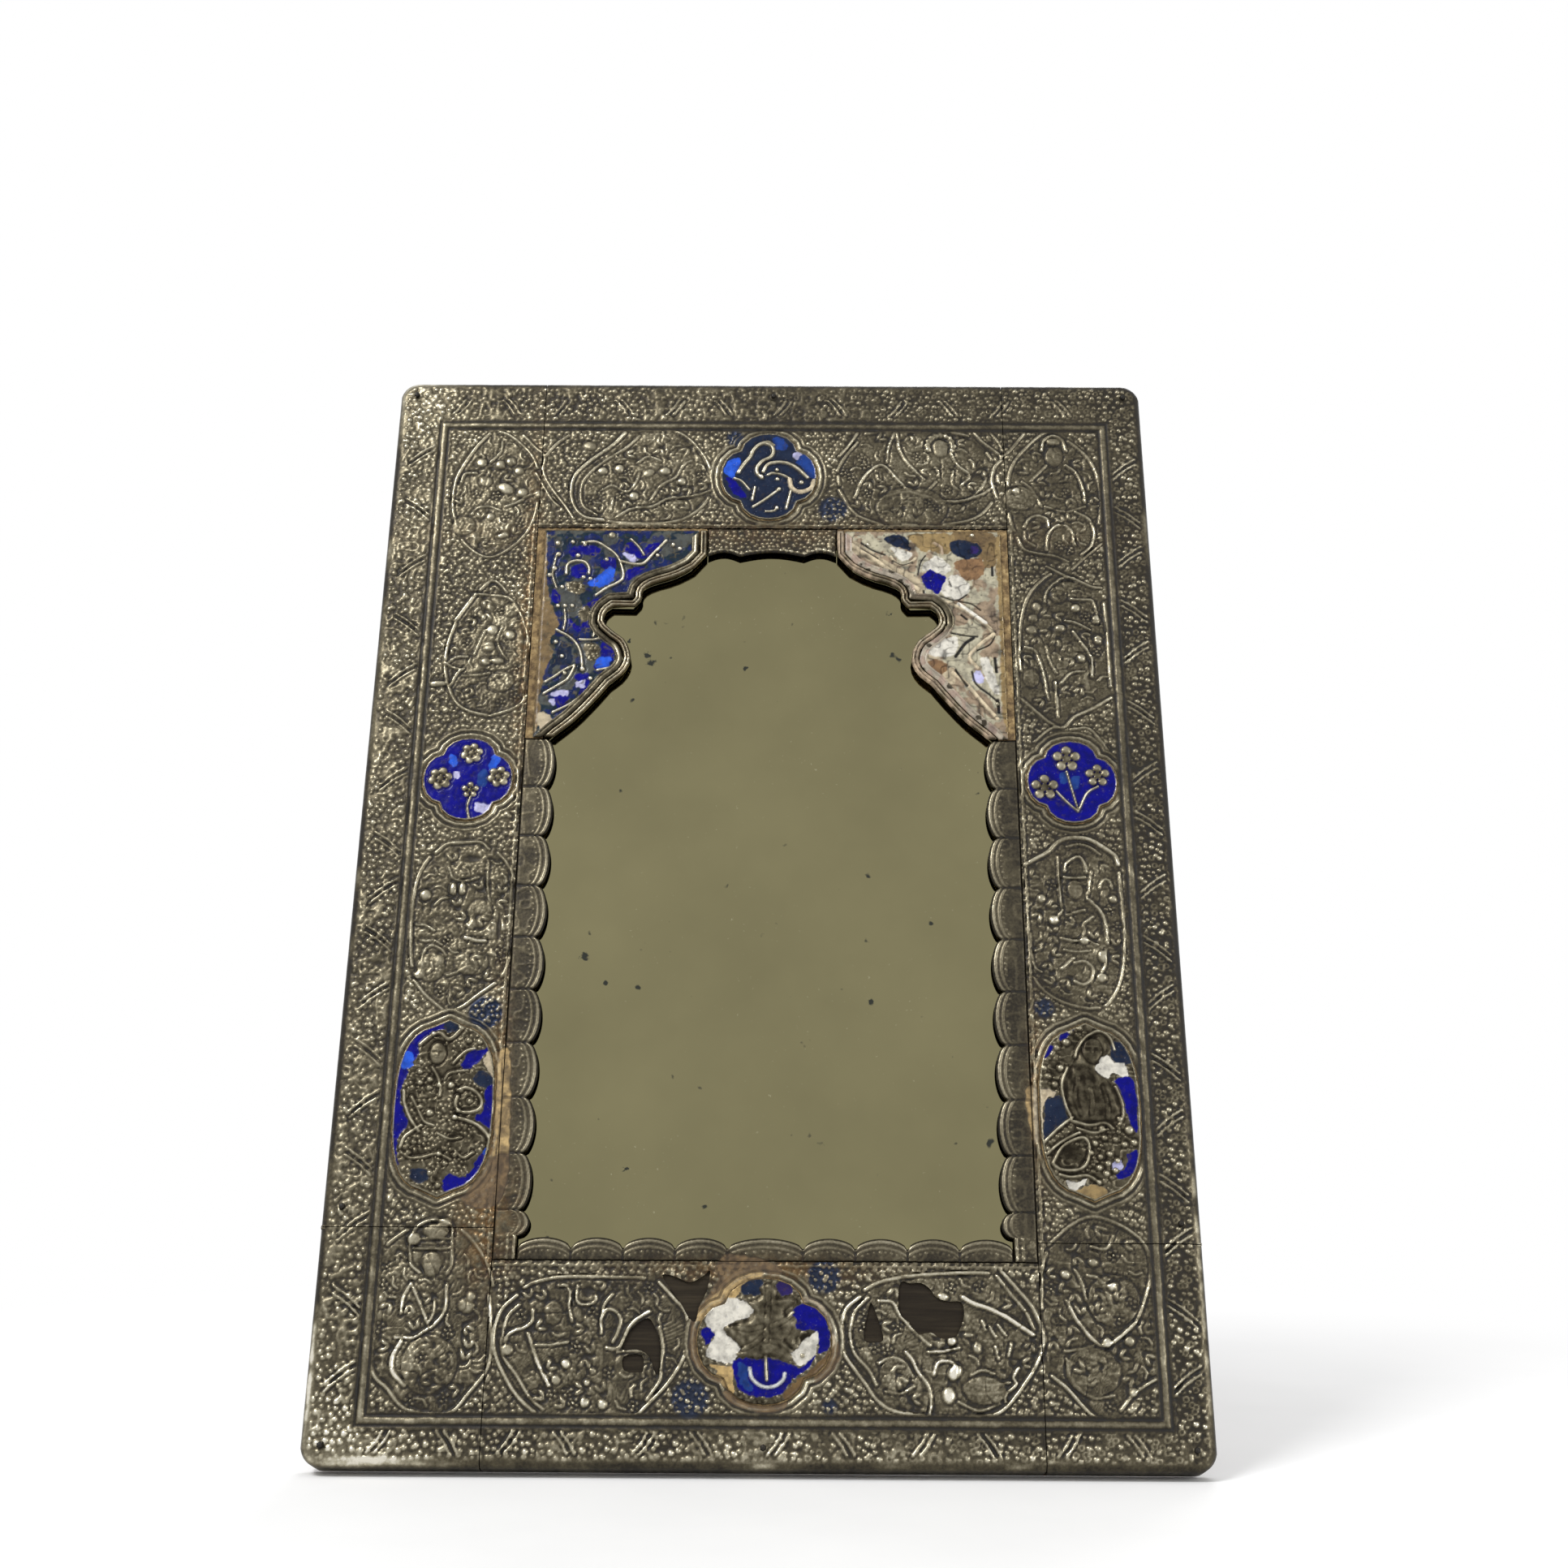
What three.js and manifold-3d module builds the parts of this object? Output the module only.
// Enamelled silver mirror, as an assembly of separate pieces.
//
// A wooden frame holds an arched mirror glass. Chased silver sheet covers its face and edges, and
// enamelled plaques lie on mastic in openings of the sheet. A wooden strut at the back, on a butt hinge,
// lets the mirror lean back on a table.
//
// Millimetres, +Z up, the mirror faces -Y and the origin is on the table under the middle of the part.
// The mirror itself is built lying in its own axes: x across, y up the mirror, z out of its face, with
// y = 0 at the bottom edge and z = 0 at the rear face of the back panel.

import * as THREE from "three";
import * as BufferGeometryUtils from "three/addons/utils/BufferGeometryUtils.js";
import Module from "manifold-3d";

const wasm = await Module();
wasm.setup();

// Overall size and stance
const frameWidth = 282;
const frameHeight = 400;
const cornerRadius = 7;
const slopeWidth = 4; // the edge slopes down this far in from the outside
const slopeDepth = 3;
const lean = 18; // degrees back from upright
const strutOpening = 33; // degrees from folded flat to its stop
const clearance = 0.3; // between pieces that touch

// Thicknesses, from the back to the front
const panelThickness = 3;
const woodThickness = 8;
const lipThickness = 1.5; // wood left in front of the glass
const glassThickness = 2.3;
const packingThickness = 0.6;
const silverThickness = 0.8;
const bedThickness = 0.5;
const plaqueThickness = 1.3;
const spandrelRimThickness = 1.8;

// The face: border, fields and opening for the glass
const fieldCentreX = 1.5; // the fields sit a little right of the middle
const sideBorder = 16.5;
const topBorder = 20;
const bottomBorder = 14;
const ridgeWidth = 2.4; // the raised line inside the border
const ridgeHeight = 0.7;
const sideLipReach = 6.5; // how far the wood reaches into the opening
const topLipReach = 7;
const bottomLipReach = 2.5;
const glassMargin = 6; // glass hidden behind the lip
const leftCornerSeam = 74; // heights of the seams above the bottom corner sheets
const rightCornerSeam = 70;

// Scalloped strips along the glass
const sideLobePitch = 18.7;
const sideValleyReach = 8; // from the opening's edge to the valley between two lobes
const bottomLobePitch = 16.6;
const bottomCentreLobe = 24.2; // the wide lobe in the middle
const bottomValleyReach = 3.8;
const lobeHeight = 3.5;
const leastLobe = 4; // a shorter remainder joins its neighbour
const lobeSteps = 8;
const domeWidth = 0.9; // rounding of the strips' edges
const domeHeight = 0.5;
const stripThickness = 1.2;

// Arch and spandrels
const spandrelHeight = 87;
const archHalfWidth = 24; // of the strip between the spandrels
const spandrelMargin = 3; // mastic seen along its straight edges
const spandrelTopMargin = 1.6;
const spandrelRimWidth = 2.6;
const archDrop = 12; // from the opening's top to the strip's cusps
const archRise = 1.8; // of the arcs between the cusps

// Enamelled plaques
const topMedallionHalfWidth = 18;
const topMedallionHalfHeight = 19;
const topMedallionMargin = 3.5; // of its field above and below it
const bottomMedallionHalfWidth = 21;
const bottomMedallionHalfHeight = 19.35;
const bottomMedallionMargin = 5.4;
const sideMedallionHalfWidth = 15.85;
const sideMedallionMargin = 2.9; // of its field on both sides
const sideMedallionHeight = 232; // of its centre up the mirror
const waistDepth = 0.17; // how deep a plaque draws in between its lobes
const ovalHeight = 113.5;
const ovalMargin = 2.3; // of its field on both sides
const ovalHalfHeight = 30;
const ovalTip = 2; // the small point at its top and bottom
const ovalTipShare = 0.25; // how much of its width the point takes
const ovalFullness = 0.7; // 1 is a plain oval, less has fuller shoulders
const plaqueGap = 0.4; // around a plaque in its opening
const plaqueBevel = 0.5;

// Pins, brads and screws
const pinHeadRadius = 1.1;
const pinHeadHeight = 0.7;
const pinCrown = 0.75; // share of the head's size at which its dome turns over
const pinShankRadius = 0.4;
const pinLength = 5;
const pinInset = 6.5; // from the outer edge, and from a seam
const bradHeadRadius = 1.5;
const bradHeadHeight = 0.5;
const bradShankRadius = 0.6;
const bradLength = 7.5;
const bradInset = 9;
const screwHeadRadius = 2.1;
const screwHeadDepth = 0.9;
const screwShankRadius = 0.9;
const panelScrewLength = 6;
const strutScrewLength = 5;

// Strut and hinge
const strutPivotHeight = 250; // of the hinge pin, up the mirror
const strutTopWidth = 42;
const strutFootWidth = 60;
const strutThickness = 7;
const strutHeadHeight = 11; // of the strut above the pin
const hingeWidth = 32;
const hingeHeight = 26;
const leafThickness = 1.2;
const knuckleRadius = 2;
const hingePinRadius = 1;
const hingePinOverhang = 0.8;
const hingeScrewOffset = 10; // from the leaf's middle line
const hingeScrewDrop = 14; // down from the pin
const restFlat = 0.9; // planed off the panel's lower rear edge so that it stands flat

// Levels that follow from the thicknesses
const woodBack = panelThickness + clearance;
const woodFront = woodBack + woodThickness;
const lipBack = woodFront - lipThickness;
const glassFront = lipBack - clearance;
const glassBack = glassFront - glassThickness;
const packingFront = glassBack - clearance;
const packingBack = packingFront - packingThickness;
const boardFront = packingBack - clearance;
const boardBack = woodBack;
const silverBack = woodFront + clearance;
const silverFront = silverBack + silverThickness;
const bedFront = silverBack + bedThickness;
const plaqueBack = bedFront + clearance;

// Lines that follow from the face's sizes
const halfFrame = frameWidth / 2;
const borderHalfWidth = halfFrame - sideBorder;
const sideFieldHalf = sideMedallionHalfWidth + sideMedallionMargin;
const topFieldHalf = topMedallionHalfHeight + topMedallionMargin;
const bottomFieldHalf = bottomMedallionHalfHeight + bottomMedallionMargin;
const openingHalfWidth = borderHalfWidth - 2 * sideFieldHalf;
const openingLeft = fieldCentreX - openingHalfWidth;
const openingRight = fieldCentreX + openingHalfWidth;
const openingTop = frameHeight - topBorder - 2 * topFieldHalf;
const openingBottom = bottomBorder + 2 * bottomFieldHalf;
const lipHalfWidth = openingHalfWidth - sideLipReach;
const lipTop = openingTop - topLipReach;
const lipBottom = openingBottom + bottomLipReach;
const spandrelWidth = openingHalfWidth - archHalfWidth;
const stripTop = openingTop - spandrelHeight;
const woodInset = silverThickness + clearance;
const far = frameWidth + frameHeight; // beyond every edge, for cuts
const overcut = 1; // how far a cutter runs past a face
const drawnInShare = 0.998; // of the distance that a drawn-in corner keeps from every edge

// Axis of the strut's hinge and its angles
const pivotZ = -(clearance + knuckleRadius);
const leanAngle = THREE.MathUtils.degToRad(lean);
const openAngle = THREE.MathUtils.degToRad(strutOpening);
const strutInner = knuckleRadius - leafThickness - clearance; // from the pin's axis to the strut's face
const strutOuter = strutInner + strutThickness;

// Materials
const silver = { color: 0x6f675a, metalness: 0.9, roughness: 0.45 };
const paleSilver = { color: 0x8b8474, metalness: 0.9, roughness: 0.4 };
const cobalt = { color: 0x0b0f9c, metalness: 0.1, roughness: 0.2 };
const wornEnamel = { color: 0xc9bfa4, metalness: 0, roughness: 0.5 };
const mastic = { color: 0xa98a54, metalness: 0, roughness: 0.7 };
const frameWood = { color: 0x4a3524, metalness: 0, roughness: 0.75 };
const boardWood = { color: 0x6b4f34, metalness: 0, roughness: 0.8 };
const paper = { color: 0xb9a987, metalness: 0, roughness: 0.95 };
const mirror = { color: 0x807a58, metalness: 1, roughness: 0.06 };
const brass = { color: 0x9a7b3f, metalness: 1, roughness: 0.4 };
const iron = { color: 0x4b4743, metalness: 0.9, roughness: 0.6 };

// Solids from three.js geometry, and back again
function toSolid(geometry) {
  const plain = geometry.clone();
  plain.deleteAttribute("normal");
  plain.deleteAttribute("uv");
  const merged = BufferGeometryUtils.mergeVertices(plain, 1e-4);
  const vertProperties = new Float32Array(merged.attributes.position.array);
  const triVerts = new Uint32Array(merged.index.array);
  return new wasm.Manifold(new wasm.Mesh({ numProp: 3, vertProperties, triVerts }));
}

function toGeometry(solid) {
  const mesh = solid.getMesh();
  const geometry = new THREE.BufferGeometry();
  geometry.setAttribute("position", new THREE.BufferAttribute(mesh.vertProperties, 3));
  geometry.setIndex(new THREE.BufferAttribute(mesh.triVerts, 1));
  geometry.computeVertexNormals();
  return geometry;
}

function join(solids) {
  return solids.reduce((whole, next) => whole.add(next));
}

function box(x0, x1, y0, y1, z0, z1) {
  const geometry = new THREE.BoxGeometry(x1 - x0, y1 - y0, z1 - z0);
  return toSolid(geometry.translate((x0 + x1) / 2, (y0 + y1) / 2, (z0 + z1) / 2));
}

function plate(shape, z0, z1) {
  const geometry = new THREE.ExtrudeGeometry(shape, {
    depth: z1 - z0,
    bevelEnabled: false,
    curveSegments: 3,
  });
  return toSolid(geometry.translate(0, 0, z0));
}

// A plate whose front edge slopes in by width over depth
function slopedPlate(shape, z0, z1, width, depth) {
  const geometry = new THREE.ExtrudeGeometry(shape, {
    depth: z1 - z0,
    bevelEnabled: true,
    bevelSegments: 1,
    bevelSize: width,
    bevelThickness: depth,
    bevelOffset: 0,
    curveSegments: 4,
  });
  const whole = toSolid(geometry.translate(0, 0, z0 - depth));
  return whole.intersect(box(-far, far, -far, far, z0, z1));
}

// A turned solid about the z axis through (x, y); the profile runs from low z to high z
function turned(profile, sides, x, y) {
  const points = profile.map(([radius, height]) => new THREE.Vector2(radius, height));
  const geometry = new THREE.LatheGeometry(points, sides).rotateX(Math.PI / 2);
  return toSolid(geometry.translate(x, y, 0));
}

function shapeOf(points) {
  return new THREE.Shape(points.map(([x, y]) => new THREE.Vector2(x, y)));
}

function roundedRectangle(x0, x1, y0, y1, radius) {
  const shape = new THREE.Shape();
  shape.absarc(x1 - radius, y0 + radius, radius, -Math.PI / 2, 0);
  shape.absarc(x1 - radius, y1 - radius, radius, 0, Math.PI / 2);
  shape.absarc(x0 + radius, y1 - radius, radius, Math.PI / 2, Math.PI);
  shape.absarc(x0 + radius, y0 + radius, radius, Math.PI, 1.5 * Math.PI);
  shape.closePath();
  return shape;
}

// The frame's outline as a slab with its sloping edge, drawn in by inset
function frameSlab(inset, z0, z1) {
  const side = inset + slopeWidth;
  const outline = roundedRectangle(
    -halfFrame + side,
    halfFrame - side,
    side,
    frameHeight - side,
    cornerRadius - slopeWidth,
  );
  return slopedPlate(outline, z0, z1, slopeWidth, slopeDepth);
}

// Places of the pins, brads and screws. The same places cut the holes.
function pinPlaces() {
  const x = halfFrame - pinInset;
  const high = frameHeight - pinInset;
  return {
    left_upper: [-x, high],
    left_lower: [-x, leftCornerSeam + pinInset],
    left_corner: [-x, pinInset],
    right_upper: [x, high],
    right_lower: [x, rightCornerSeam + pinInset],
    right_corner: [x, pinInset],
    top: [fieldCentreX, high],
    bottom: [fieldCentreX, pinInset],
  };
}

function bradPlaces() {
  const x = halfFrame - bradInset;
  const high = frameHeight - bradInset;
  return {
    left_top: [-x, high],
    left_middle: [-x, frameHeight / 2],
    left_bottom: [-x, bradInset],
    right_top: [x, high],
    right_middle: [x, frameHeight / 2],
    right_bottom: [x, bradInset],
  };
}

function hingeScrewPlaces() {
  return {
    left: [-hingeScrewOffset, -hingeScrewDrop],
    right: [hingeScrewOffset, -hingeScrewDrop],
  };
}

// A domed pin, its head on the sheet and its shank in the wood. Extra widens it into its hole.
function pin(x, y, extra) {
  const headBack = silverFront + clearance;
  const profile = [
    [0, headBack - pinLength - extra],
    [pinShankRadius + extra, headBack - pinLength - extra],
    [pinShankRadius + extra, headBack],
    [pinHeadRadius, headBack],
    [pinHeadRadius * pinCrown, headBack + pinHeadHeight * pinCrown],
    [0, headBack + pinHeadHeight],
  ];
  return turned(profile, 6, x, y);
}

// A flat-headed brad, driven in from the back
function brad(x, y, extra) {
  const headFront = -clearance;
  const profile = [
    [0, headFront - bradHeadHeight],
    [bradHeadRadius, headFront - bradHeadHeight],
    [bradHeadRadius, headFront],
    [bradShankRadius + extra, headFront],
    [bradShankRadius + extra, headFront + bradLength + extra],
    [0, headFront + bradLength + extra],
  ];
  return turned(profile, 6, x, y);
}

// A countersunk screw whose head is flush at z = 0 and whose shank runs to +z
function screw(x, y, length, extra) {
  const profile = [
    [0, 0],
    [screwHeadRadius + extra, 0],
    [screwShankRadius + extra, screwHeadDepth],
    [screwShankRadius + extra, length + extra],
    [0, length + extra],
  ];
  return turned(profile, 8, x, y);
}

// Outlines of the face

// Distances of the valleys between lobes: the first, then every pitch, and one at the end
function valleysTo(end, first, pitch) {
  const valleys = [];
  for (let reach = first; reach < end - leastLobe; reach += pitch) {
    valleys.push(reach);
  }
  return [...valleys, end];
}

// Lobes from valley to valley: one list of points, with the lobes' swell given to place
function lobes(valleys, place) {
  const points = [];
  for (let k = 0; k + 1 < valleys.length; k++) {
    for (let step = 0; step < lobeSteps; step++) {
      const share = step / lobeSteps;
      const swell = Math.sqrt(Math.sin(Math.PI * share));
      points.push(place(valleys[k] + (valleys[k + 1] - valleys[k]) * share, swell * lobeHeight));
    }
  }
  points.push(place(valleys.at(-1), 0));
  return points;
}

// side is -1 for the left strip and 1 for the right
function sideStripShape(side) {
  const outer = openingHalfWidth - clearance;
  const valley = openingHalfWidth - sideValleyReach;
  const foot = openingBottom + clearance;
  const lowest = foot + bottomValleyReach + lobeHeight + clearance;
  const drops = [0, ...valleysTo(stripTop - lowest, sideLobePitch, sideLobePitch)];
  const x = (distance) => fieldCentreX + side * distance;
  const edge = lobes(drops, (drop, swell) => [x(valley - swell), stripTop - drop]);
  return shapeOf([
    [x(outer), stripTop],
    ...edge,
    [x(valley + clearance), lowest],
    [x(valley + clearance), foot],
    [x(outer), foot],
  ]);
}

function bottomStripShape() {
  const end = openingHalfWidth - sideValleyReach;
  const low = openingBottom + clearance;
  const reaches = valleysTo(end, bottomCentreLobe / 2, bottomLobePitch);
  const valleys = [...reaches.map((reach) => -reach).reverse(), ...reaches];
  const edge = lobes(valleys, (x, swell) => [fieldCentreX + x, low + bottomValleyReach + swell]);
  return shapeOf([[fieldCentreX + end, low], [fieldCentreX - end, low], ...edge]);
}

// The strip over the arch, with two cusps that point down at the glass
function archStripShape() {
  const half = archHalfWidth - clearance;
  const top = openingTop - clearance;
  const low = openingTop - archDrop;
  const cusps = [-half, -half / 2, half / 2, half];
  const edge = [];
  for (let k = 0; k + 1 < cusps.length; k++) {
    for (let step = 0; step < lobeSteps; step++) {
      const share = step / lobeSteps;
      const rise = archRise * Math.sin(Math.PI * share);
      edge.push([fieldCentreX + cusps[k] + (cusps[k + 1] - cusps[k]) * share, low + rise]);
    }
  }
  edge.push([fieldCentreX + half, low]);
  return shapeOf([...edge, [fieldCentreX + half, top], [fieldCentreX - half, top]]);
}

// The spandrel's outline, run out past its straight edges, which are trimmed afterwards. Its contour
// sweeps down from the arch, turns in at a notch and ends in a lobe and a long tail. The numbers are
// shares of its width, from the opening's side, and of its height, from the top.
function spandrelOutline(side) {
  const overrun = 3 * spandrelRimWidth;
  const point = (inset, drop) =>
    new THREE.Vector2(fieldCentreX + side * (openingHalfWidth - inset), openingTop - drop);
  const place = ([across, down]) => point(across * spandrelWidth, down * spandrelHeight);
  const curve = (shares) => new THREE.SplineCurve(shares.map(place)).getPoints(2 * shares.length);
  const upperSweep = curve([
    [0.93, 0.2],
    [0.825, 0.244],
    [0.69, 0.279],
    [0.635, 0.314],
    [0.63, 0.356],
    [0.594, 0.39],
  ]);
  const notch = curve([[0.468, 0.388], [0.429, 0.416], [0.419, 0.464], [0.484, 0.513]]);
  const lobe = curve([[0.484, 0.513], [0.548, 0.554], [0.581, 0.632], [0.548, 0.699], [0.468, 0.753]]);
  const tail = curve([[0.468, 0.753], [0.39, 0.828], [0.281, 0.92], [0.159, 1], [0.05, 1.09]]);
  return [
    point(-overrun, -overrun),
    point(spandrelWidth, -overrun),
    point(spandrelWidth, archDrop),
    ...upperSweep,
    ...notch,
    ...lobe.slice(1),
    ...tail.slice(1),
    point(-overrun, spandrelHeight + overrun),
  ];
}

// A closed outline drawn in by a distance, corner by corner. Corners that would come too near another
// edge are left out.
function drawnIn(outline, distance) {
  const inward = THREE.ShapeUtils.isClockWise(outline) ? -distance : distance;
  const next = (k) => outline[(k + 1) % outline.length];
  const moved = outline.map((corner, k) => {
    const before = corner.clone().sub(outline.at(k - 1)).normalize();
    const after = next(k).clone().sub(corner).normalize();
    const along = before.clone().add(after).normalize();
    const reach = inward / along.dot(before);
    return new THREE.Vector3(corner.x - along.y * reach, corner.y + along.x * reach, 0);
  });
  const flat = (point) => new THREE.Vector3(point.x, point.y, 0);
  const edges = outline.map((corner, k) => new THREE.Line3(flat(corner), flat(next(k))));
  const nearest = new THREE.Vector3();
  const gapTo = (edge, point) => edge.closestPointToPoint(point, true, nearest).distanceTo(point);
  const least = distance * drawnInShare;
  const kept = moved.filter((point) => edges.every((edge) => gapTo(edge, point) > least));
  return kept.map((point) => new THREE.Vector2(point.x, point.y));
}

// Four round lobes that meet at a waist on each diagonal
function quatrefoilShape({ x, y, halfWidth, halfHeight }) {
  const points = [];
  for (let lobe = 0; lobe < 4; lobe++) {
    for (let step = 0; step < lobeSteps; step++) {
      const across = (2 * step) / lobeSteps - 1;
      const turn = ((2 * lobe + across) * Math.PI) / 4;
      const reach = 1 - waistDepth * Math.abs(across) ** 3;
      points.push([x + halfWidth * reach * Math.cos(turn), y + halfHeight * reach * Math.sin(turn)]);
    }
  }
  return shapeOf(points);
}

// A tall oval with full shoulders and a small point at its top and bottom
function ovalShape({ x, y, halfWidth, halfHeight }) {
  const points = [];
  const steps = 4 * lobeSteps;
  const body = halfHeight - ovalTip;
  for (let step = 0; step < steps; step++) {
    const turn = (2 * Math.PI * step) / steps;
    const across = Math.sign(Math.cos(turn)) * Math.abs(Math.cos(turn)) ** ovalFullness;
    const along = Math.sign(Math.sin(turn)) * Math.abs(Math.sin(turn)) ** ovalFullness;
    const tip = Math.max(0, 1 - Math.abs(across) / ovalTipShare) * ovalTip * Math.sign(along);
    points.push([x + halfWidth * across, y + body * along + tip]);
  }
  return shapeOf(points);
}

// The plaques, each centred in its field
function plaques() {
  const sideX = borderHalfWidth - sideFieldHalf;
  const list = [
    {
      name: "medallion_top",
      outline: quatrefoilShape,
      x: 0,
      y: frameHeight - topBorder - topFieldHalf,
      halfWidth: topMedallionHalfWidth,
      halfHeight: topMedallionHalfHeight,
    },
    {
      name: "medallion_bottom",
      outline: quatrefoilShape,
      x: fieldCentreX,
      y: bottomBorder + bottomFieldHalf,
      halfWidth: bottomMedallionHalfWidth,
      halfHeight: bottomMedallionHalfHeight,
    },
  ];
  for (const [side, name] of [[-1, "left"], [1, "right"]]) {
    list.push({
      name: `medallion_${name}`,
      outline: quatrefoilShape,
      x: fieldCentreX + side * sideX,
      y: sideMedallionHeight,
      halfWidth: sideMedallionHalfWidth,
      halfHeight: sideMedallionHalfWidth,
    });
    list.push({
      name: `oval_${name}`,
      outline: ovalShape,
      x: fieldCentreX + side * sideX,
      y: ovalHeight,
      halfWidth: sideFieldHalf - ovalMargin,
      halfHeight: ovalHalfHeight,
    });
  }
  return list;
}

function grown(plaque, by) {
  return { ...plaque, halfWidth: plaque.halfWidth + by, halfHeight: plaque.halfHeight + by };
}

// Pieces in the mirror's own axes
const pieces = [];
const strutPieces = [];

function addPiece(list, name, solid, look) {
  const mesh = new THREE.Mesh(toGeometry(solid), new THREE.MeshStandardMaterial(look));
  mesh.name = name;
  list.push(mesh);
}

function addEach(list, name, places, make, look) {
  for (const [place, [x, y]] of Object.entries(places)) {
    addPiece(list, `${name}_${place}`, make(x, y, 0), look);
  }
}

function holes(places, make) {
  return join(Object.values(places).map(([x, y]) => make(x, y, clearance)));
}

const pinHoles = holes(pinPlaces(), pin);
const bradHoles = holes(bradPlaces(), brad);

// A screw of the hinge's fixed leaf, its head flush with the leaf's rear face
function panelScrew(x, y, extra) {
  const level = -clearance - leafThickness;
  return screw(x, strutPivotHeight + y, panelScrewLength, extra).translate(0, 0, level);
}

// A screw of the moving leaf, in the strut's axes, its head flush with the leaf's inner face
function strutScrew(x, y, extra) {
  const turnedRound = screw(x, -y, strutScrewLength, extra).rotate([180, 0, 0]);
  return turnedRound.translate(0, 0, leafThickness - knuckleRadius);
}

const panelScrewHoles = holes(hingeScrewPlaces(), panelScrew);
const strutScrewHoles = holes(hingeScrewPlaces(), strutScrew);

// Wooden frame: stiles run the full height at the back of each corner, rails lap over them in front
function addWoodFrame() {
  const rebateHalf = lipHalfWidth + glassMargin + clearance;
  const rebateLow = lipBottom - glassMargin - clearance;
  const rebateHigh = lipTop + glassMargin + clearance;
  const opening = box(
    fieldCentreX - lipHalfWidth,
    fieldCentreX + lipHalfWidth,
    lipBottom,
    lipTop,
    woodBack - overcut,
    woodFront + overcut,
  );
  const rebate = box(
    fieldCentreX - rebateHalf,
    fieldCentreX + rebateHalf,
    rebateLow,
    rebateHigh,
    woodBack - overcut,
    lipBack,
  );
  const ring = frameSlab(woodInset, woodBack, woodFront)
    .subtract(opening)
    .subtract(rebate)
    .subtract(pinHoles)
    .subtract(bradHoles);
  const lap = woodBack + woodThickness / 2;
  const half = clearance / 2;
  for (const side of [-1, 1]) {
    const edge = fieldCentreX + side * (lipHalfWidth + clearance);
    const outside = side * far;
    const [x0, x1] = side < 0 ? [outside, edge] : [edge, outside];
    const behind = box(x0, x1, -far, far, 0, lap - half);
    const between = box(x0, x1, lipBottom + half, lipTop - half, 0, far);
    const name = side < 0 ? "left_stile" : "right_stile";
    addPiece(pieces, name, ring.intersect(behind.add(between)), frameWood);
  }
  const inFront = (y0, y1) => box(-far, far, y0, y1, lap + half, far);
  const middle = (y0, y1) =>
    box(fieldCentreX - lipHalfWidth, fieldCentreX + lipHalfWidth, y0, y1, 0, far);
  const top = inFront(lipTop + half, far).add(middle(lipTop + half, far));
  const bottom = inFront(-far, lipBottom - half).add(middle(-far, lipBottom - half));
  addPiece(pieces, "top_rail", ring.intersect(top), frameWood);
  addPiece(pieces, "bottom_rail", ring.intersect(bottom), frameWood);
}

// Glass, packing and backing board in the rebate
function addGlass() {
  const half = lipHalfWidth + glassMargin;
  const low = lipBottom - glassMargin;
  const high = lipTop + glassMargin;
  const sheet = (z0, z1) => box(fieldCentreX - half, fieldCentreX + half, low, high, z0, z1);
  addPiece(pieces, "mirror_glass", sheet(glassBack, glassFront), mirror);
  addPiece(pieces, "packing_sheet", sheet(packingBack, packingFront), paper);
  const board = sheet(boardBack, boardFront).subtract(panelScrewHoles);
  addPiece(pieces, "backing_board", board, boardWood);
}

// Everything under the table's surface, in the mirror's axes, for planing the rest edge and the foot
function belowTable() {
  const under = box(-far, far, -far, 0, -far, far);
  const turnedDown = under.rotate([lean, 0, 0]);
  return turnedDown.translate(0, restFlat * Math.cos(leanAngle), restFlat * Math.sin(leanAngle));
}

function addBackPanel() {
  const outline = roundedRectangle(-halfFrame, halfFrame, 0, frameHeight, cornerRadius);
  const panel = plate(outline, 0, panelThickness)
    .subtract(bradHoles)
    .subtract(panelScrewHoles)
    .subtract(belowTable());
  addPiece(pieces, "back_panel", panel, boardWood);
  addEach(pieces, "brad", bradPlaces(), brad, iron);
}

// Silver sheets: one folded tray over the frame, parted at its seams and opened for the plaques
function addSilverSheets() {
  const shell = frameSlab(0, woodBack, silverFront);
  const hollow = frameSlab(silverThickness, woodBack - overcut, silverBack);
  const ridgeOutside = box(
    fieldCentreX - borderHalfWidth - ridgeWidth / 2,
    fieldCentreX + borderHalfWidth + ridgeWidth / 2,
    bottomBorder - ridgeWidth / 2,
    frameHeight - topBorder + ridgeWidth / 2,
    silverBack,
    silverFront + ridgeHeight,
  );
  const ridgeInside = box(
    fieldCentreX - borderHalfWidth + ridgeWidth / 2,
    fieldCentreX + borderHalfWidth - ridgeWidth / 2,
    bottomBorder + ridgeWidth / 2,
    frameHeight - topBorder - ridgeWidth / 2,
    0,
    far,
  );
  const cutOuts = join(plaques().map((p) => plate(p.outline(grown(p, plaqueGap)), 0, far)));
  const tray = shell
    .subtract(hollow)
    .add(ridgeOutside.subtract(ridgeInside))
    .subtract(cutOuts)
    .subtract(pinHoles);
  const sheet = (name, x0, x1, y0, y1, look) => {
    addPiece(pieces, name, tray.intersect(box(x0, x1, y0, y1, 0, far)), look);
  };
  const left = openingLeft;
  const right = openingRight;
  sheet("silver_sheet_left", -far, left, leftCornerSeam, far, silver);
  sheet("silver_sheet_right", right, far, rightCornerSeam, far, silver);
  sheet("silver_sheet_top", left + clearance, right - clearance, openingTop, far, silver);
  sheet("silver_sheet_bottom", left + clearance, right - clearance, -far, openingBottom, silver);
  sheet("silver_corner_left", -far, left, -far, leftCornerSeam - clearance, paleSilver);
  sheet("silver_corner_right", right, far, -far, rightCornerSeam - clearance, silver);
  addEach(pieces, "silver_pin", pinPlaces(), pin, paleSilver);
}

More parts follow.
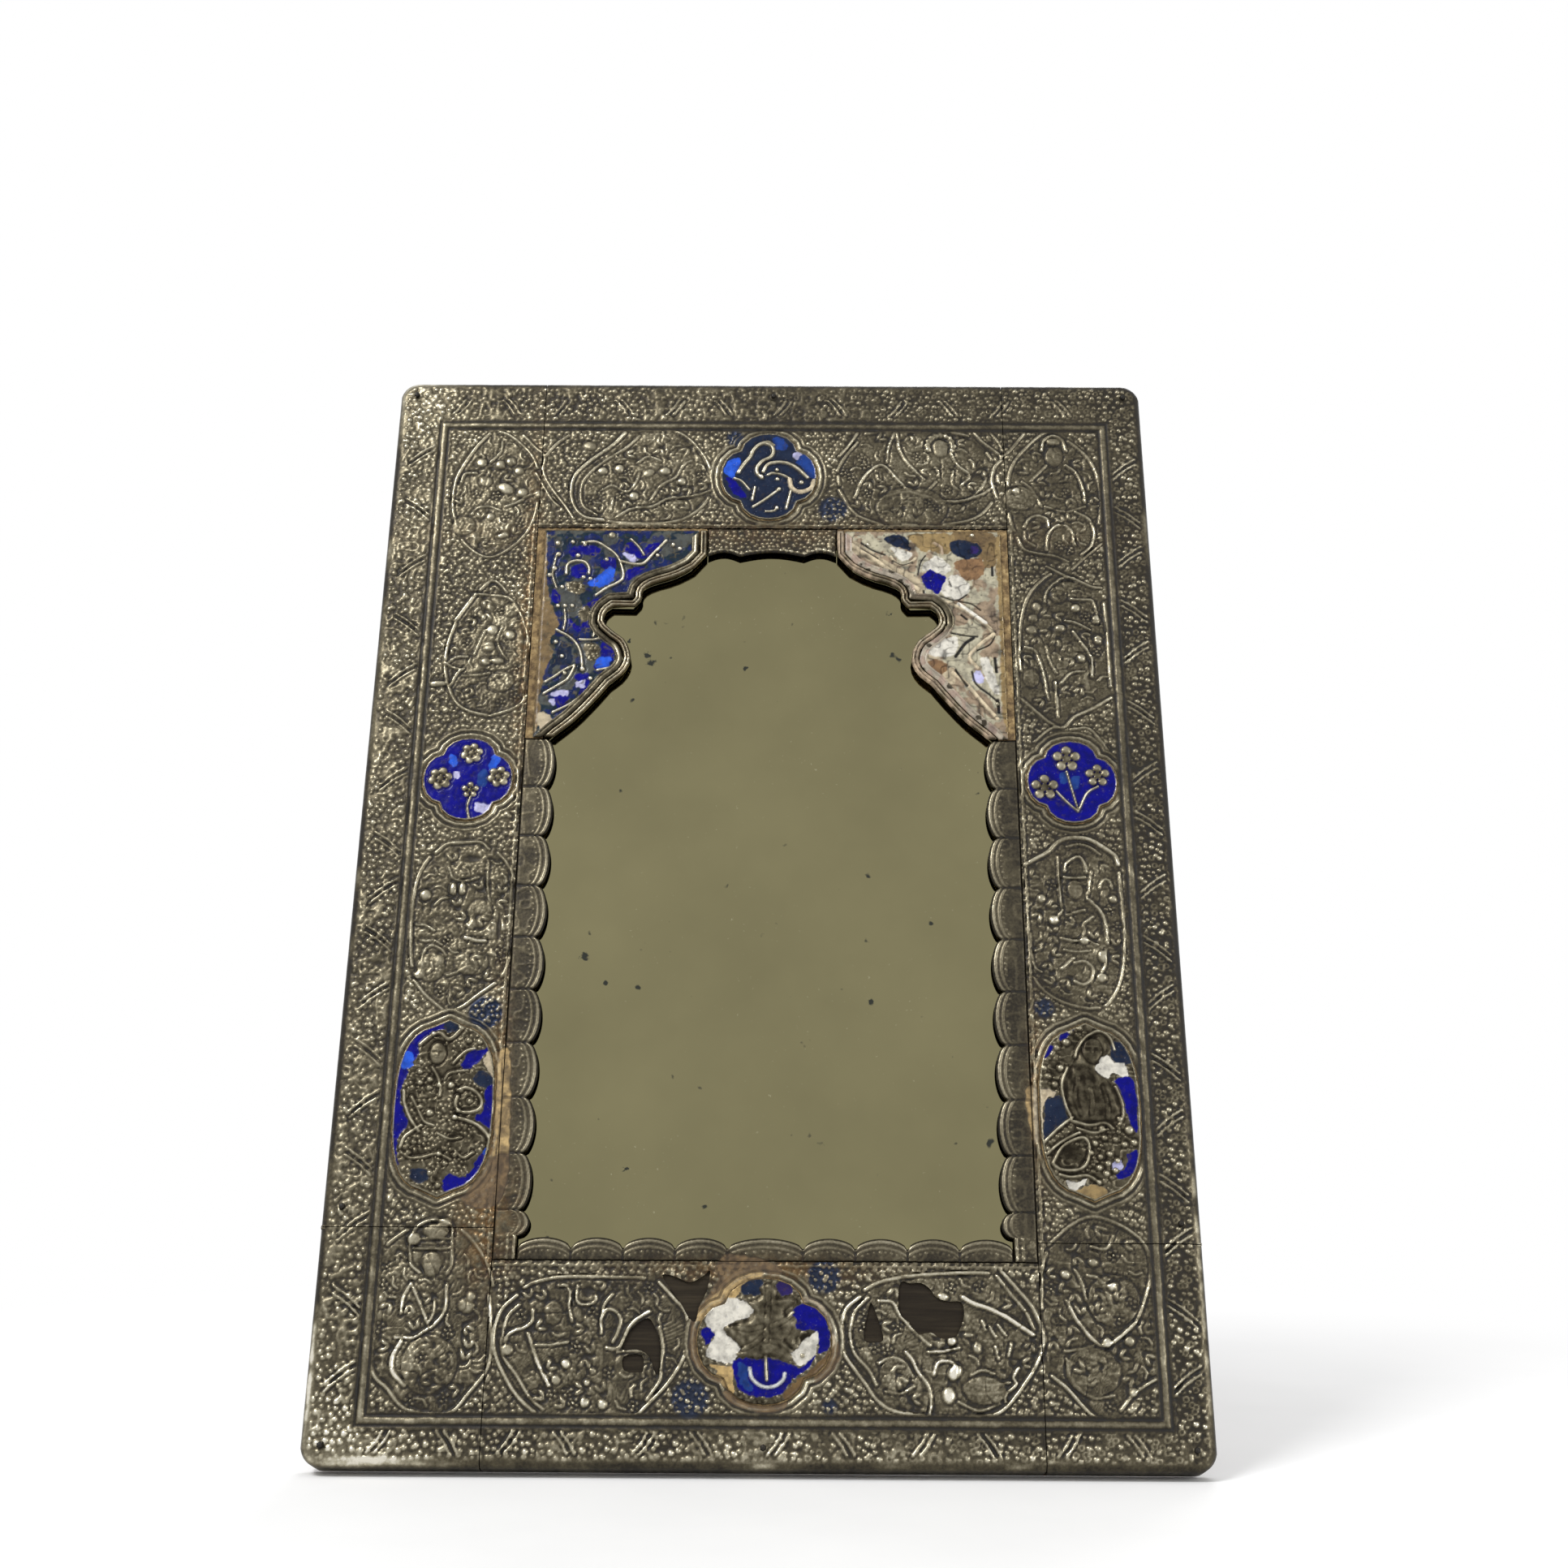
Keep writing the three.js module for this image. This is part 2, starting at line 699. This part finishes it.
// A strip with its front edge rounded over, drawn from its outline and kept inside it
function domedStrip(shape) {
  const front = silverBack + stripThickness;
  const geometry = new THREE.ExtrudeGeometry(shape, {
    depth: front - domeHeight - silverBack,
    bevelEnabled: true,
    bevelSegments: 1,
    bevelSize: domeWidth,
    bevelOffset: -domeWidth,
    bevelThickness: domeHeight,
    curveSegments: 6,
  });
  const whole = toSolid(geometry.translate(0, 0, silverBack));
  return whole.intersect(box(-far, far, -far, far, silverBack, far));
}

function addStrips() {
  addPiece(pieces, "scallop_strip_left", domedStrip(sideStripShape(-1)), silver);
  addPiece(pieces, "scallop_strip_right", domedStrip(sideStripShape(1)), silver);
  addPiece(pieces, "scallop_strip_bottom", domedStrip(bottomStripShape()), silver);
  addPiece(pieces, "arch_strip", domedStrip(archStripShape()), silver);
}

// Spandrels: a mastic bed on the wood, a moulded rim along the contour and an enamelled plate within it
function addSpandrel(side, name, look) {
  const high = openingTop - clearance;
  const low = stripTop + clearance;
  const outer = openingHalfWidth - clearance;
  const x = (distance) => fieldCentreX + side * distance;
  const bed = shapeOf([
    [x(outer), low],
    [x(outer), high],
    [x(openingHalfWidth - spandrelWidth), high],
    [x(openingHalfWidth - spandrelWidth), lipTop],
    [x(lipHalfWidth), lipTop],
    [x(lipHalfWidth), low],
  ]);
  addPiece(pieces, `spandrel_bed_${name}`, plate(bed, silverBack, bedFront), mastic);
  const window = box(
    ...[fieldCentreX, x(openingHalfWidth - spandrelMargin)].sort((a, b) => a - b),
    low,
    openingTop - spandrelTopMargin,
    plaqueBack,
    far,
  );
  const outline = spandrelOutline(side);
  const slab = (corners, thickness) =>
    plate(new THREE.Shape(corners), plaqueBack, plaqueBack + thickness).intersect(window);
  const inside = slab(drawnIn(outline, spandrelRimWidth), 2 * spandrelRimThickness);
  const rim = slab(outline, spandrelRimThickness).subtract(inside);
  addPiece(pieces, `spandrel_rim_${name}`, rim, paleSilver);
  const enamel = slab(drawnIn(outline, spandrelRimWidth + plaqueGap), plaqueThickness);
  addPiece(pieces, `spandrel_enamel_${name}`, enamel, look);
}

// Plaques on their mastic beds
function addPlaques() {
  for (const plaque of plaques()) {
    const front = plaqueBack + plaqueThickness;
    const core = plaque.outline(grown(plaque, -plaqueBevel));
    const body = slopedPlate(core, plaqueBack, front, plaqueBevel, plaqueBevel);
    addPiece(pieces, `${plaque.name}_enamel`, body, cobalt);
    const bed = plate(plaque.outline(grown(plaque, plaqueGap - clearance)), silverBack, bedFront);
    addPiece(pieces, `${plaque.name}_bed`, bed, mastic);
  }
}

// A hinge leaf with its knuckles, hanging down from the pin. face is the leaf's near and far level.
function hingeLeaf(knuckles, [z0, z1]) {
  const half = hingeWidth / 2;
  const gap = knuckleRadius + clearance;
  const parts = [box(-half, half, -hingeHeight, -gap, z0, z1)];
  for (const [x0, x1] of knuckles) {
    parts.push(box(x0, x1, -gap - clearance, 0, z0, z1));
    const barrel = new THREE.CylinderGeometry(knuckleRadius, knuckleRadius, x1 - x0, 16);
    parts.push(toSolid(barrel.rotateZ(Math.PI / 2).translate((x0 + x1) / 2, 0, 0)));
  }
  const boreRadius = hingePinRadius + clearance;
  const bore = new THREE.CylinderGeometry(boreRadius, boreRadius, far, 16).rotateZ(Math.PI / 2);
  return join(parts).subtract(toSolid(bore));
}

function addHinge() {
  const half = hingeWidth / 2;
  const third = hingeWidth / 6;
  const outerKnuckles = [[-half, -third], [third, half]];
  const middleKnuckle = [[-third + clearance, third - clearance]];
  const fixed = hingeLeaf(outerKnuckles, [knuckleRadius - leafThickness, knuckleRadius])
    .translate(0, strutPivotHeight, pivotZ)
    .subtract(panelScrewHoles);
  addPiece(pieces, "hinge_fixed_leaf", fixed, brass);
  addEach(pieces, "fixed_leaf_screw", hingeScrewPlaces(), panelScrew, brass);
  const pinLengthAcross = hingeWidth + 2 * hingePinOverhang;
  const axle = new THREE.CylinderGeometry(hingePinRadius, hingePinRadius, pinLengthAcross, 12);
  axle.rotateZ(Math.PI / 2).translate(0, strutPivotHeight, pivotZ);
  addPiece(pieces, "hinge_pin", toSolid(axle), brass);
  const moving = hingeLeaf(middleKnuckle, [-knuckleRadius, leafThickness - knuckleRadius]);
  addPiece(strutPieces, "hinge_moving_leaf", moving.subtract(strutScrewHoles), brass);
  addEach(strutPieces, "moving_leaf_screw", hingeScrewPlaces(), strutScrew, brass);
}

// The strut, in its own axes: y up along it from the pin, z towards the mirror. Its head is bevelled so
// that it bears on the back panel when the strut is open, and its foot is cut flat to the table.
function addStrut() {
  const sine = Math.sin(openAngle);
  const cosine = Math.cos(openAngle);
  const headAt = (depth) => Math.min(strutHeadHeight, (knuckleRadius + depth * cosine) / sine);
  const depthAtHead = (strutHeadHeight * sine - knuckleRadius) / cosine;
  const reach = strutPivotHeight * Math.cos(leanAngle) + pivotZ * Math.sin(leanAngle) - restFlat;
  const splay = openAngle - leanAngle;
  const footAt = (depth) => -(reach + depth * Math.sin(splay)) / Math.cos(splay);
  const profile = [[strutInner, footAt(strutInner)], [strutInner, headAt(strutInner)]];
  if (depthAtHead > strutInner && depthAtHead < strutOuter) {
    profile.push([depthAtHead, strutHeadHeight]);
  }
  profile.push([strutOuter, headAt(strutOuter)], [strutOuter, footAt(strutOuter)]);
  const widest = Math.max(strutTopWidth, strutFootWidth);
  const across = new THREE.ExtrudeGeometry(shapeOf(profile), { depth: widest, bevelEnabled: false });
  const slab = toSolid(across.translate(0, 0, -widest / 2).rotateY(Math.PI / 2));
  const lowest = footAt(strutOuter) - overcut;
  const plan = shapeOf([
    [-strutFootWidth / 2, lowest],
    [strutFootWidth / 2, lowest],
    [strutTopWidth / 2, strutHeadHeight + overcut],
    [-strutTopWidth / 2, strutHeadHeight + overcut],
  ]);
  const recessHalf = hingeWidth / 2 + hingePinOverhang + clearance;
  const recess = box(
    -recessHalf,
    recessHalf,
    -hingeHeight - clearance,
    far,
    -knuckleRadius - clearance,
    far,
  );
  const strut = slab
    .intersect(plate(plan, -far, far))
    .subtract(recess)
    .subtract(strutScrewHoles);
  addPiece(strutPieces, "strut_board", strut, boardWood);
}

addWoodFrame();
addGlass();
addBackPanel();
addSilverSheets();
addStrips();
addSpandrel(-1, "left", cobalt);
addSpandrel(1, "right", wornEnamel);
addPlaques();
addHinge();
addStrut();

// Assembly: the strut hangs on its pin, and the whole mirror leans back
const strut = new THREE.Group();
strut.position.set(0, strutPivotHeight, pivotZ);
strut.rotation.x = openAngle;
strut.add(...strutPieces);

const leaning = new THREE.Group();
leaning.rotation.x = Math.PI / 2 - leanAngle;
leaning.add(...pieces, strut);

const model = new THREE.Group();
model.name = "enamelled_silver_mirror";
model.add(leaning);

// Stand it on the table with the origin under its middle
model.updateMatrixWorld(true);
const bounds = new THREE.Box3().setFromObject(model, true);
const middle = bounds.getCenter(new THREE.Vector3());
leaning.position.set(-middle.x, -middle.y, -bounds.min.z);
model.updateMatrixWorld(true);

export default model;
